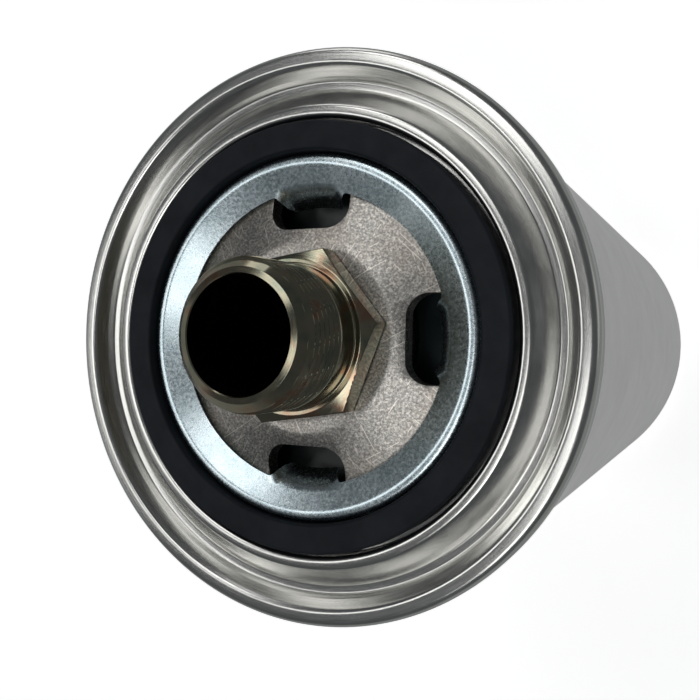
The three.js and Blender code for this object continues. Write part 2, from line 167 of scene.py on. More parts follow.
# ---- Meshes ---------------------------------------------------------------------------------


def mesh_object(name, vertices, faces):
    """A smooth-shaded object from points in millimetres."""
    mesh = bpy.data.meshes.new(name)
    mesh.from_pydata((np.asarray(vertices) * MM).tolist(), [], faces)
    mesh.polygons.foreach_set("use_smooth", [True] * len(mesh.polygons))
    mesh.set_sharp_from_angle(angle=SHARP)
    mesh.update()
    made = bpy.data.objects.new(name, mesh)
    bpy.context.scene.collection.objects.link(made)
    return made


def turned(name, outline, sides=SIDES, shape=None):
    """A closed outline of (radius, height) points turned round the Z axis.

    A point on the axis becomes one vertex. shape(radius, angle, height) may bend the surface:
    it returns the new radius and height.
    """
    angles = np.arange(sides) * 2 * math.pi / sides
    radius, height = (np.repeat(outline[:, k][:, None], sides, 1) for k in (0, 1))
    angle = np.repeat(angles[None], len(outline), 0)
    on_axis = outline[:, 0] < 1e-6
    if shape:
        radius, height = shape(radius, angle, height)
    rows, vertices = [], []
    for i in range(len(outline)):
        count = 1 if on_axis[i] else sides
        rows.append(np.full(sides, len(vertices)) if on_axis[i] else len(vertices) + np.arange(sides))
        x = radius[i] * np.cos(angle[i])
        y = radius[i] * np.sin(angle[i])
        vertices.extend(np.stack([x, y, height[i]], 1)[:count])
    faces = []
    for i, row in enumerate(rows):
        if on_axis[i] and on_axis[(i + 1) % len(rows)]:
            continue
        above = rows[(i + 1) % len(rows)]
        for k in range(sides):
            n = (k + 1) % sides
            corners = [row[k], row[n], above[n], above[k]]
            faces.append([int(c) for j, c in enumerate(corners) if c != corners[j - 1]])
    return mesh_object(name, vertices, faces)


def coil(name, radius, wire, bottom, top, turns, wire_sides=20, steps_per_turn=72):
    """A round wire wound evenly into a spring between two levels."""
    steps = int(turns * steps_per_turn)
    t = np.linspace(0, 1, steps + 1)
    angle = 2 * math.pi * turns * t
    height = bottom + wire / 2 + (top - bottom - wire) * t
    across = 2 * math.pi * np.arange(wire_sides) / wire_sides
    r = radius + wire / 2 * np.cos(across)[None]
    x = r * np.cos(angle)[:, None]
    y = r * np.sin(angle)[:, None]
    z = height[:, None] + wire / 2 * np.sin(across)[None]
    vertices = np.stack([x, y, z], 2).reshape(-1, 3)
    faces = [list(range(wire_sides)), [steps * wire_sides + k for k in reversed(range(wire_sides))]]
    for i in range(steps):
        for k in range(wire_sides):
            n = (k + 1) % wire_sides
            low, high = i * wire_sides, (i + 1) * wire_sides
            faces.append([low + n, low + k, high + k, high + n])
    return mesh_object(name, vertices, faces)


def prism(name, outline, bottom, top, turn=0.0):
    """A closed outline in the XY plane, pulled up between two levels and turned about Z."""
    count = len(outline)
    x = outline[:, 0] * math.cos(turn) - outline[:, 1] * math.sin(turn)
    y = outline[:, 0] * math.sin(turn) + outline[:, 1] * math.cos(turn)
    low = np.stack([x, y, np.full(count, bottom)], 1)
    high = np.stack([x, y, np.full(count, top)], 1)
    sides = [[k, (k + 1) % count, count + (k + 1) % count, count + k] for k in range(count)]
    caps = [list(reversed(range(count))), [count + k for k in range(count)]]
    return mesh_object(name, np.vstack([low, high]), caps + sides)


def applied(piece):
    """The piece with its modifiers made part of its mesh."""
    evaluated = piece.evaluated_get(bpy.context.evaluated_depsgraph_get())
    mesh = bpy.data.meshes.new_from_object(evaluated)
    piece.modifiers.clear()
    piece.data = mesh
    return piece


def cut(piece, cutters, edge=0.0):
    """Cuts the cutters out of the piece, and rounds the sharp edges by that many millimetres."""
    for cutter in cutters:
        hole = piece.modifiers.new("cut", "BOOLEAN")
        hole.object = cutter
        hole.operation = "DIFFERENCE"
        hole.solver = "EXACT"
    applied(piece)
    for cutter in cutters:
        bpy.data.objects.remove(cutter)
    if edge:
        bevel = piece.modifiers.new("edges", "BEVEL")
        bevel.width = edge * MM
        bevel.segments = 3
        bevel.limit_method = "ANGLE"
        bevel.angle_limit = math.radians(50)
        applied(piece)
    piece.data.set_sharp_from_angle(angle=SHARP)
    return piece


# ---- Materials ------------------------------------------------------------------------------


class Finish:
    """One procedural material. Patterns are in millimetres on the object itself."""

    def __init__(self, name, **sockets):
        self.material = bpy.data.materials.new(name)
        self.material.use_nodes = True
        self.tree = self.material.node_tree
        self.shader = self.tree.nodes["Principled BSDF"]
        for socket, value in sockets.items():
            self.shader.inputs[socket.replace("_", " ")].default_value = value
        self.place = self.node("ShaderNodeTexCoord").outputs["Object"]
        self.flat = self.vector("MULTIPLY", self.place, (1, 1, 0))
        self.radius = self.node("ShaderNodeVectorMath", [self.flat], operation="LENGTH").outputs["Value"]

    def node(self, kind, inputs=(), **settings):
        """A node of that kind. inputs are links or values, in order or by socket."""
        made = self.tree.nodes.new(kind)
        for key, value in settings.items():
            setattr(made, key, value)
        pairs = inputs.items() if isinstance(inputs, dict) else enumerate(inputs)
        for key, value in pairs:
            if isinstance(value, bpy.types.NodeSocket):
                self.tree.links.new(value, made.inputs[key])
            elif value is not None:
                made.inputs[key].default_value = value
        return made

    def vector(self, operation, a, b):
        return self.node("ShaderNodeVectorMath", [a, b], operation=operation).outputs["Vector"]

    def math(self, operation, a, b=0.0):
        return self.node("ShaderNodeMath", [a, b], operation=operation).outputs["Value"]

    def round_the_axis(self, across, along):
        """Coordinates for marks that run round the axis: slow round it, quick across them."""
        way = self.node("ShaderNodeVectorMath", [self.flat], operation="NORMALIZE").outputs["Vector"]
        slow = self.vector("SCALE", way, None)
        slow.node.inputs["Scale"].default_value = along
        height = self.node("ShaderNodeSeparateXYZ", [self.place]).outputs["Z"]
        level = self.math("MULTIPLY", self.math("ADD", self.radius, height), across / MM)
        lift = self.node("ShaderNodeCombineXYZ", {"Z": level}).outputs["Vector"]
        return self.vector("ADD", slow, lift)

    def noise(self, size=1.0, detail=3.0, rough=0.55, at=None, stretch=(1, 1, 1)):
        """Cloudy noise, 0 to 1, with blobs of that many millimetres."""
        if at is None:
            at = self.vector("MULTIPLY", self.place, [s / (size * MM) for s in stretch])
        inputs = {"Vector": at, "Scale": 1.0, "Detail": detail, "Roughness": rough}
        return self.node("ShaderNodeTexNoise", inputs).outputs["Fac"]

    def ramp(self, value, stops):
        """Colours or levels by value. stops are (place, colour or number)."""
        ramp = self.node("ShaderNodeValToRGB", [value])
        elements = ramp.color_ramp.elements
        while len(elements) < len(stops):
            elements.new(0.5)
        for element, (place, colour) in zip(elements, stops):
            element.position = place
            level = colour if isinstance(colour, (tuple, list)) else (colour,) * 3
            element.color = (*level, 1)
        return ramp.outputs["Color"]

    def mix(self, share, a, b):
        """From a to b by share. The node's colour sockets come after those of its other types."""
        made = self.node("ShaderNodeMix", {0: share}, data_type="RGBA")
        for socket, value in ((made.inputs[6], a), (made.inputs[7], b)):
            if isinstance(value, bpy.types.NodeSocket):
                self.tree.links.new(value, socket)
            else:
                socket.default_value = (*value, 1)
        return made.outputs[2]

    def bump(self, height, depth, strength=1.0, under=None):
        """Adds relief of that many millimetres, on top of the relief under it."""
        inputs = {"Strength": strength, "Distance": depth * MM, "Height": height, "Normal": under}
        return self.node("ShaderNodeBump", inputs).outputs["Normal"]

    def put(self, **outputs):
        """Links the patterns to the shader's sockets and gives the finished material."""
        for socket, value in outputs.items():
            self.tree.links.new(value, self.shader.inputs[socket.replace("_", " ")])
        return self.material


def can_paint():
    """Satin paint over a fine orange peel, with faint clouds of dust."""
    f = Finish("can_paint", Metallic=0.0, Coat_Weight=0.4, Coat_Roughness=0.25)
    peel = f.noise(1.6, 2)
    dust = f.noise(14, 5)
    colour = f.ramp(dust, [(0.3, (0.60, 0.59, 0.58)), (0.7, (0.66, 0.65, 0.64))])
    rough = f.ramp(f.noise(5, 4), [(0.3, 0.32), (0.7, 0.44)])
    return f.put(Base_Color=colour, Roughness=rough, Normal=f.bump(peel, 0.012))


def lid_steel():
    """Spun steel outside the gasket, and bluish grained zinc on the ring inside it."""
    f = Finish("lid_steel", Metallic=1.0)
    bands = f.noise(at=f.round_the_axis(1.1, 1.2), detail=2)
    spinning = f.noise(at=f.round_the_axis(6.0, 9.0), detail=4, rough=0.6)
    speckle = f.noise(0.22, 3, 0.7)
    grain = f.noise(0.5, 4, 0.75)
    cloud = f.noise(9, 4)
    steel = f.ramp(f.math("ADD", f.math("MULTIPLY", bands, 0.6), f.math("MULTIPLY", spinning, 0.4)),
                   [(0.35, (0.54, 0.54, 0.515)), (0.65, (0.72, 0.715, 0.69))])
    zinc = f.ramp(f.math("ADD", f.math("MULTIPLY", grain, 0.65), f.math("MULTIPLY", cloud, 0.35)),
                  [(0.38, (0.40, 0.50, 0.53)), (0.62, (0.82, 0.92, 0.96))])
    change_r, tongue_r = 33, RING_INNER_R - 0.2  # the first is out of sight, under the gasket
    on_ring = f.math("LESS_THAN", f.radius, change_r * MM)
    steel_rough = f.ramp(spinning, [(0.3, 0.17), (0.7, 0.26)])
    zinc_rough = f.ramp(grain, [(0.3, 0.20), (0.7, 0.32)])
    steel_relief = f.bump(speckle, 0.004, under=f.bump(spinning, 0.0035))
    zinc_relief = f.bump(grain, 0.014, f.math("GREATER_THAN", f.radius, tongue_r * MM))
    return f.put(Base_Color=f.mix(on_ring, steel, zinc),
                 Roughness=f.mix(on_ring, steel_rough, zinc_rough),
                 Normal=f.mix(on_ring, steel_relief, zinc_relief))


def scratches(f, turn, patch):
    """1 on thin straight marks that cross the direction at that angle, in patches of that size."""
    changes_per_metre, rarity, cover = 2400, 0.7, 0.58
    way = (math.cos(turn), math.sin(turn), 0)
    across = f.node("ShaderNodeVectorMath", [f.place, way], operation="DOT_PRODUCT").outputs["Value"]
    quick = f.math("MULTIPLY", across, changes_per_metre)
    at = f.node("ShaderNodeCombineXYZ", {"X": quick}).outputs["Vector"]
    lines = f.math("GREATER_THAN", f.noise(at=at, detail=0), rarity)
    return f.math("MULTIPLY", lines, f.math("GREATER_THAN", f.noise(patch, 1), cover))


def plate_steel():
    """Stamped steel with a sandy grain, warm stains and a few bright scratches."""
    f = Finish("plate_steel", Metallic=1.0)
    grain = f.noise(0.42, 5, 0.8)
    patches = f.noise(9, 4)
    scratch = 0.0
    for turn, patch in ((47, 9.0), (25, 6.0), (-62, 7.0), (-35, 5.0)):
        scratch = f.math("MAXIMUM", scratch, scratches(f, math.radians(turn), patch))
    colour = f.ramp(grain, [
        (0.36, (0.17, 0.165, 0.155)),
        (0.5, (0.38, 0.365, 0.34)),
        (0.62, (0.80, 0.765, 0.70)),
    ])
    warm = f.mix(f.ramp(patches, [(0.45, 0.0), (0.7, 0.22)]), colour, (0.56, 0.43, 0.34))
    marked = f.mix(f.math("MULTIPLY", scratch, 0.7), warm, (0.95, 0.9, 0.82))
    rough = f.ramp(patches, [(0.3, 0.30), (0.7, 0.40)])
    relief = f.bump(grain, 0.024, under=f.bump(patches, 0.1))
    return f.put(Base_Color=marked, Roughness=rough, Normal=relief)


def nipple_zinc():
    """Turned steel with an olive passivate that shifts to copper and to green."""
    f = Finish("nipple_zinc", Metallic=1.0)
    cloud = f.noise(4, 3)
    turning = f.noise(at=f.round_the_axis(7.0, 4.0), detail=3)
    colour = f.ramp(cloud, [
        (0.3, (0.20, 0.22, 0.17)),
        (0.45, (0.29, 0.275, 0.20)),
        (0.55, (0.32, 0.29, 0.21)),
        (0.68, (0.33, 0.21, 0.14)),
    ])
    rough = f.ramp(turning, [(0.3, 0.10), (0.7, 0.22)])
    return f.put(Base_Color=colour, Roughness=rough, Normal=f.bump(turning, 0.003))


def rubber(name, dark, light, rough, glance=0.5):
    """Clouded rubber with a fine grain. glance is how much it mirrors at all."""
    f = Finish(name, Metallic=0.0, Specular_IOR_Level=glance)
    bloom = f.noise(8, 4)
    grain = f.noise(0.35, 3)
    colour = f.ramp(bloom, [(0.3, dark), (0.75, light)])
    wear = f.ramp(f.noise(3, 4), [(0.3, rough - 0.06), (0.7, rough + 0.08)])
    return f.put(Base_Color=colour, Roughness=wear, Normal=f.bump(grain, 0.01))


def sheet_metal(name, low, high):
    """Drawn or wound metal, with faint lines round the axis."""
    f = Finish(name, Metallic=1.0)
    lines = f.noise(at=f.round_the_axis(4.0, 5.0), detail=4)
    colour = f.ramp(lines, [(0.3, low), (0.7, high)])
    rough = f.ramp(f.noise(2, 4), [(0.3, 0.25), (0.7, 0.4)])
    return f.put(Base_Color=colour, Roughness=rough, Normal=f.bump(lines, 0.003))


def filter_paper():
    """Resin-cured paper, whose fibres run up the pleats."""
    f = Finish("media_paper", Metallic=0.0)
    fibres = f.noise(0.5, 6, 0.7, stretch=(1, 1, 0.3))
    colour = f.ramp(fibres, [(0.3, (0.52, 0.38, 0.18)), (0.7, (0.74, 0.60, 0.36))])
    rough = f.ramp(fibres, [(0.3, 0.8), (0.7, 0.95)])
    return f.put(Base_Color=colour, Roughness=rough, Normal=f.bump(fibres, 0.08))


def moulded(name, low, high):
    """A cured compound with a clouded, slightly uneven face."""
    f = Finish(name, Metallic=0.0)
    cloud = f.noise(2.5, 4)
    colour = f.ramp(cloud, [(0.3, low), (0.7, high)])
    rough = f.ramp(cloud, [(0.3, 0.5), (0.7, 0.7)])
    return f.put(Base_Color=colour, Roughness=rough, Normal=f.bump(cloud, 0.05))


MATERIALS = {
    "can_paint": can_paint(),
    "lid_steel": lid_steel(),
    "plate_steel": plate_steel(),
    "nipple_zinc": nipple_zinc(),
    "gasket_rubber": rubber("gasket_rubber", (0.006, 0.008, 0.012), (0.013, 0.017, 0.023), 0.6, 0.25),
    "valve_rubber": rubber("valve_rubber", (0.008, 0.014, 0.016), (0.016, 0.028, 0.030), 0.35),
    "seam_sealant": moulded("seam_sealant", (0.20, 0.25, 0.19), (0.28, 0.33, 0.27)),
    "cap_tinplate": sheet_metal("cap_tinplate", (0.60, 0.60, 0.58), (0.72, 0.72, 0.70)),
    "spring_steel": sheet_metal("spring_steel", (0.20, 0.19, 0.18), (0.32, 0.31, 0.30)),
    "media_paper": filter_paper(),
    "potting": moulded("potting", (0.32, 0.10, 0.06), (0.45, 0.18, 0.12)),
}
SLOT_OF = {part["node"]: part["material_slot"] for part in frame["record"]["subparts"]}
BODIES = frame["record"]["behaviour"]["bodies"]
BODY_OF = {node: body for body, nodes in BODIES.items() for node in nodes}


def stands_for(piece, node):
    """The piece is shown for this CAD node: it takes its body and its finish."""
    piece.data.materials.clear()
    piece.data.materials.append(MATERIALS[SLOT_OF[node]])
    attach(piece, BODY_OF[node])
    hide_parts(node)


# ---- Can and seamed lid ---------------------------------------------------------------------


def can():
    """A deep-drawn can with a pressed-in boss in its foot and a flange under the seam."""
    half = CAN_SHEET / 2
    wall = CAN_R - half
    boss_r, boss_h = 15, 2.5
    line = bent_line([
        (0, boss_h + half),
        (boss_r, boss_h + half, 2.5),
        (boss_r + boss_h, half, 2.5),
        (wall, half, 9.2),
        (wall, CAN.high - half, 0.6),
        (CAN.radius, CAN.high - half),
    ], step=0.6)
    return turned("can", sheet_outline(line, CAN_SHEET))


def from_slot(angle):
    """The angle from the middle of the nearest slot."""
    quarter = math.pi / 2
    return (angle - SLOT_TURNS[0] + quarter / 2) % quarter - quarter / 2


def ring_middle(radius):
    """The level of the ring's middle line, which rises outwards from its inner edge."""
    return SEAM_Z - LID_SHEET / 2 + (radius - RING_INNER_R) * RING_SLOPE


def dipped_into_slots(radius, angle, height):
    """The ring's inner edge runs on into each slot as a short tongue that is bent down."""
    bend_from, bend, steepest = RING_INNER_R + 0.5, 1.0, math.radians(60)
    edge, tongue = bend_from - RING_INNER_R, 3.6
    tongue_half, fully_in = SLOT_WIDTH / 2 - 0.6, 2.2
    aside = np.abs(radius * np.sin(from_slot(angle)))
    inside = np.clip((tongue_half - aside) / fully_in, 0, 1)
    share = inside * inside * (3 - 2 * inside)
    path = (bend_from - radius) / edge * (edge + (tongue - edge) * share)
    tilt = np.minimum(path / bend, steepest * share)
    straight = path - tilt * bend
    inward = bend * np.sin(tilt) + straight * np.cos(tilt)
    down = bend * (1 - np.cos(tilt)) + straight * np.sin(tilt)
    off_middle = height - ring_middle(radius)
    new_height = ring_middle(bend_from - inward) - down + off_middle * np.cos(tilt)
    moved = radius < bend_from
    return (np.where(moved, bend_from - inward - off_middle * np.sin(tilt), radius),
            np.where(moved, new_height, height))


def lid():
    """One stamping: hem, seam bead, crease, valley, lip, gasket channel, ridge and ring."""
    half = LID_SHEET / 2
    outer = LID.radius - half
    hem, bead, valley, lip, channel = -3.3, 1.2, -2.1, 1.1, -2.8  # sheet's middle, from the seam
    corners = [
        (CAN_R + GAP, hem),
        (outer, hem, 0.6),
        (outer, bead, 1.0),
        (46.3, bead, 0.5),
        (44.9, -0.8, 0.4),
        (44.2, valley, 0.7),
        (42.5, valley - 0.05, 0.9),
        (38.9, lip, 0.7),
        (37.6, lip, 0.45),
        (37.6, channel, 0.5),
        (30.9, channel, 0.5),
        (30.9, RIDGE_UP, 0.8),
        (RIDGE_R, RIDGE_UP, 1.3),
        (RING_INNER_R, -half),
    ]
    line = bent_line([(r, SEAM_Z + z, *bend) for r, z, *bend in corners], step=0.15)
    return turned("lid", sheet_outline(filled_in(line, 0.4), LID_SHEET), 360, dipped_into_slots)


def gasket():
    """A flat-topped rubber ring, rounder at its sealing face than at its foot."""
    inner, outer = 31.5, GASKET.radius
    return turned("gasket", bent_line([
        (inner, GASKET.low, 0.3),
        (outer, GASKET.low, 0.3),
        (outer, GASKET.high, 0.6),
        (inner, GASKET.high, 0.6),
    ], closed=True, step=0.1))


# ---- Base plate and nipple ------------------------------------------------------------------


def slot_outline():
    """The slot on the +X side from above, a rounded rectangle."""
    half = SLOT_WIDTH / 2
    return bent_line([
        (SLOT_NEAR_R, -half, SLOT_CORNER_R),
        (SLOT_FAR_R, -half, SLOT_CORNER_R),
        (SLOT_FAR_R, half, SLOT_CORNER_R),
        (SLOT_NEAR_R, half, SLOT_CORNER_R),
    ], closed=True, step=0.3)


def plate():
    """A thick domed plate with a hub below, a lower rim under the ring, and four inlet slots."""
    top, bottom = PLATE_TOP, PLATE_TOP - PLATE_T
    rim_top, rim_bottom = top - PLATE_STEP, bottom - PLATE_STEP
    made = turned("plate", bent_line([
        (THREAD_R + GAP, PLATE.low),
        (HUB_R, PLATE.low, 0.5),
        (HUB_R, bottom + PLATE_RISE, 1),
        (25.5, bottom, 1.5),
        (28, rim_bottom, 1.5),
        (PLATE.radius, rim_bottom, 0.4),
        (PLATE.radius, rim_top, 0.4),
        (29.5, rim_top, 1.5),
        (27, top, 1.5),
        (25, top, 4),
        (HUB_R, PLATE.high, 4),
        (THREAD_R + GAP, PLATE.high),
    ], closed=True), 180)
    cut_from, cut_to = bottom - 5, PLATE.high + 1
    slots = [prism(f"slot_{i}", slot_outline(), cut_from, cut_to, turn)
             for i, turn in enumerate(SLOT_TURNS)]
    return cut(made, slots, edge=0.35)


def nipple_shape(radius, angle, height):
    """Cuts the thread and the hexagon's flats into the turned blank."""
    steepness, crest_flat, run_in = 1.25, 0.12, 1.2
    level = height - SEAM_Z
    phase = (height / THREAD_PITCH - angle / (2 * math.pi)) % 1
    groove = np.clip((1 - np.abs(2 * phase - 1)) * steepness - crest_flat, 0, 1)
    start = np.clip((level - THREAD_FROM) / run_in, 0, 1)
    crest = THREAD_R - THREAD_DEPTH * groove * start
    radius = np.where((start > 0) & (radius > THREAD_END_R), np.minimum(radius, crest), radius)
    sixth = math.pi / 3
    flat = HEX_FLATS / 2 / np.cos((angle - HEX_TURN) % sixth - sixth / 2)
    return np.where(radius > THREAD_R + 0.1, np.minimum(radius, flat), radius), height


def nipple():
    """A plain tube below, a hexagon with chamfered corners, a collar and a threaded end."""
    tube_r, face_fall = 11, 0.2  # the end face slopes outwards by that much
    hex_bottom, hex_top, hex_top_r = PLATE.high + GAP, SEAM_Z + 6, 13
    corner = HEX_FLATS / 2 / math.cos(math.pi / 6)
    cone = (corner - hex_top_r) * math.tan(math.radians(20))
    thread_bottom, thread_top = SEAM_Z + THREAD_FROM, NIPPLE.high - face_fall
    below = filled_in(bent_line([
        (tube_r, NIPPLE.low, 0.3),
        (tube_r, PLATE.low - GAP),
        (THREAD_R, PLATE.low + 1),
        (THREAD_R, hex_bottom, 0.1),
        (corner, hex_bottom),
        (corner, hex_top - cone),
    ]), 2)
    shoulder = filled_in(bent_line([
        (corner, hex_top - cone),
        (hex_top_r, hex_top),
        (THREAD_R, hex_top, 0.3),
        (THREAD_R, thread_bottom),
    ], step=0.08), 0.15)
    thread = filled_in(bent_line([
        (THREAD_R, thread_bottom),
        (THREAD_R, thread_top - (THREAD_R - THREAD_END_R)),
        (THREAD_END_R, thread_top, 0.08),
        (BORE_R + 0.15, NIPPLE.high),
    ], step=0.08), 0.1)
    bore = [(BORE_R, thread_top), (BORE_R, NIPPLE.low + 0.2), (BORE_R + 0.2, NIPPLE.low)]
    outline = np.vstack([below[:-1], shoulder[:-1], thread, bore])
    return turned("nipple", outline, 360, nipple_shape)


# ---- Rubber inside --------------------------------------------------------------------------


def drain_valve():
    """A collar clamped under the hub, and a skirt whose lip closes the slots from inside."""
    hub_bottom, seat = PLATE.low, PLATE_TOP - PLATE_T - PLATE_STEP
    return turned("drain_valve", bent_line([
        (THREAD_R + GAP, VALVE.low, 0.3),
        (19, VALVE.low, 0.8),
        (20, hub_bottom - 1.5, 1),
        (VALVE.radius - 1, seat - 2.4, 0.5),
        (VALVE.radius, VALVE.high, 0.4),
        (VALVE.radius - 1.6, VALVE.high, 0.2),
        (VALVE.radius - 2.4, seat - 1.2, 1),
        (HUB_R + 1.5, hub_bottom + 0.4, 0.4),
        (HUB_R + GAP, hub_bottom + 0.4, 0.3),
        (HUB_R + GAP, hub_bottom - GAP, 0.2),
        (THREAD_R + GAP, hub_bottom - GAP, 0.2),
    ], closed=True))


def grommet():
    """A rubber ring round the nipple's plain end, with a neck that sits in the upper cap."""
    box = box_of("nipple_grommet")
    inner, neck = 11.3, 14.6
    shoulder = box.high - 0.9
    return turned("grommet", bent_line([
        (inner, box.low, 0.5),
        (box.radius, box.low, 0.5),
        (box.radius, shoulder, 0.2),
        (neck, shoulder, 0.2),
        (neck, box.high, 0.2),
        (inner + 0.4, box.high, 0.15),
        (inner, box.high - 1, 0.4),
    ], closed=True, step=0.12), 128)


# ---- Filter element -------------------------------------------------------------------------


def end_cap(name, node, hole):
    """A drawn sheet cap with a flat face round its hole, and a rim that goes over the pleats."""
    box = box_of(node)
    half = CAP_SHEET / 2
    wall = box.radius - half
    faces_up = node.startswith("top")
    face, rim = (box.high - half, box.low) if faces_up else (box.low + half, box.high)
    line = bent_line([(hole + half, face), (wall, face, 1.2), (wall, rim)], step=0.2)
    return turned(name, sheet_outline(line if faces_up else line[::-1], CAP_SHEET), 180)


def washer(name, node, inner, edge=0.2, sides=128):
    """A flat ring with rounded edges, as large as the node."""
    box = box_of(node)
    return turned(name, bent_line([
        (inner, box.low, edge),
        (box.radius, box.low, edge),
        (box.radius, box.high, edge),
        (inner, box.high, edge),
    ], closed=True, step=0.1), sides)


def potting_ring(name, node):
    """Plastisol that has set with a slightly sunken face between the tube and the cap's rim."""
    box = box_of(node)
    inner, middle = CORE_R + GAP, (CORE_R + box.radius) / 2
    free, set_in = (box.low, box.high) if node.startswith("top") else (box.high, box.low)
    sink = 0.35 if node.startswith("top") else -0.35
    corners = [
        (inner, set_in, 0.2),
        (inner, free, 0.3),
        (middle, free + sink, 20),
        (box.radius, free, 0.3),
        (box.radius, set_in, 0.2),
    ]
    outline = bent_line(corners, closed=True, step=0.4)
    return turned(name, outline if node.startswith("top") else outline[::-1], 180)


def pleat_line(inner, outer, pleats):
    """The middle of the folded paper from above: straight walls that meet in round folds."""
    outer_half, inner_half = 0.8, 0.5
    corners = []
    for i in range(pleats):
        tip = 2 * math.pi * i / pleats
        valley = tip + math.pi / pleats
        for radius, at, half in ((outer, tip, outer_half), (inner, valley, inner_half)):
            for angle in (at - half / radius, at + half / radius):
                corners.append((radius * math.cos(angle), radius * math.sin(angle), half * 0.9))
    return bent_line(corners, closed=True, step=0.3)


def pleats():
    """The filter paper. Its two edges are potted, and its walls bow a little in between."""
    box = box_of("pleated_media")
    count_of_pleats, sheet, rows = 48, 0.7, 24
    bow, half_waves, slant, unbowed = 0.12, 9, 0.4, 3
    inner = CORE_R + 0.8
    line = pleat_line(inner + sheet / 2, box.radius - sheet / 2, count_of_pleats)
    along = np.roll(line, -1, axis=0) - np.roll(line, 1, axis=0)
    along /= np.linalg.norm(along, axis=1)[:, None]
    aside = np.stack([along[:, 1], -along[:, 0]], 1)
    count = len(line)
    radius = np.linalg.norm(line, axis=1)
    from_fold = np.minimum(radius - CORE_R, box.radius - radius)
    on_wall = np.clip((from_fold - unbowed) / unbowed, 0, 1)
    vertices, faces = [], []
    for row in range(rows + 1):
        t = row / rows
        height = box.low + t * (box.high - box.low)
        wave = np.sin(half_waves * math.pi * t + radius * slant)
        shift = bow * math.sin(math.pi * t) * on_wall * wave
        for side in (sheet / 2, -sheet / 2):
            place = line + aside * (shift + side)[:, None]
            vertices.extend(np.column_stack([place, np.full(count, height)]))
    for k in range(count):
        n = (k + 1) % count
        for row in range(rows):
            low, high = 2 * row * count, 2 * (row + 1) * count
            faces.append([low + k, low + n, high + n, high + k])
            faces.append([low + count + n, low + count + k, high + count + k, high + count + n])
        top = 2 * rows * count
        faces.append([n, k, count + k, count + n])
        faces.append([top + k, top + n, top + count + n, top + count + k])
    return mesh_object("pleats", vertices, faces)


def seam_clip():
    """A sheet channel crimped over the pleat in which the paper's two ends meet."""
    box = box_of("media_seam_clip")
    sheet, half_gap, depth = 0.4, 1.5, 4.5
    crown = box.radius - sheet / 2
    line = bent_line([
        (crown - depth, -half_gap),
        (crown, -half_gap, 0.4),
        (crown, half_gap, 0.4),
        (crown - depth, half_gap),
    ], step=0.1)
    return prism("seam_clip", sheet_outline(line, sheet), box.low, box.high)


def centre_tube():
    """A perforated tube. Its holes stand in rings, each turned half a step from the next."""
    box = box_of("centre_tube")
    rings, holes, hole_r, hole_sides, reach = 5, 6, 3.0, 32, 3
    tube = washer("centre_tube", "centre_tube", box.radius - CAP_SHEET, 0.15, 150)
    around = np.arange(hole_sides) * 2 * math.pi / hole_sides
    circle = hole_r * np.stack([np.cos(around), np.sin(around)], 1)
    punches = []
    for row in range(1, rings + 1):
        height = box.low + row * (box.high - box.low) / (rings + 1)
        for i in range(holes):
            punch = prism(f"punch_{row}_{i}", circle, CORE_R - reach, CORE_R + reach)
            turn = math.pi / 2 + (i + row % 2 / 2) * 2 * math.pi / holes
            lean = Matrix.Rotation(turn, 4, "Z") @ Matrix.Rotation(math.pi / 2, 4, "Y")
            punch.matrix_world = Matrix.Translation((0, 0, height * MM)) @ lean
            punches.append(punch)
    return cut(tube, punches)


# ---- Bypass valve ---------------------------------------------------------------------------


def poppet():
    """A disc with a stem that slides in the cage, and a spigot that holds the seal."""
    box = box_of("bypass_poppet")
    seal = box_of("bypass_seal")
    face, disc = seal.high + GAP, 1
    spigot, stem = 3.2, 2.5
    return turned("poppet", bent_line([
        (0, box.low),
        (spigot, box.low, 0.3),
        (spigot, face, 0.2),
        (box.radius, face, 0.3),
        (box.radius, face + disc, 0.4),
        (stem, face + disc, 0.8),
        (stem, box.high, 0.8),
        (0, box.high),
    ], step=0.12), 96)


def cage():
    """An inverted cup with three windows, standing on the seat's flange."""
    box = box_of("bypass_cage")
    half = CAP_SHEET / 2
    wall, stem_hole = 12.0, 2.8
    cup = turned("cage", sheet_outline(bent_line([
        (box.radius, box.low + half),
        (wall, box.low + half, 0.8),
        (wall, box.high - half, 1.2),
        (stem_hole, box.high - half),
    ], step=0.15), CAP_SHEET), 120)
    height, width = 8.0, 10.0
    middle = (box.low + box.high) / 2
    cut_from, cut_to = 5, wall + 6
    window = bent_line([
        (cut_from, -width / 2),
        (cut_to, -width / 2),
        (cut_to, width / 2),
        (cut_from, width / 2),
    ], closed=True)
    turns = [2 * math.pi * i / 3 for i in range(3)]
    windows = [prism(f"window_{i}", window, middle - height / 2, middle + height / 2, turn)
               for i, turn in enumerate(turns)]
    return cut(cup, windows, edge=0.1)


def spring_of(name, node, wire, turns):
    """A coil spring that fills the node's height."""
    box = box_of(node)
    return coil(name, box.radius - wire / 2, wire, box.low, box.high, turns)


def spring_seat():
    """A flat ring with a collar turned down inside the element spring."""
    box = box_of("spring_seat")
    sheet, collar = 0.8, 16.6
    middle = box.high - sheet / 2
    line = bent_line([(collar, box.low), (collar, middle, 1.2), (box.radius, middle)], step=0.15)
    return turned("seat_ring", sheet_outline(line, sheet), 128)


# ---- Assembly -------------------------------------------------------------------------------

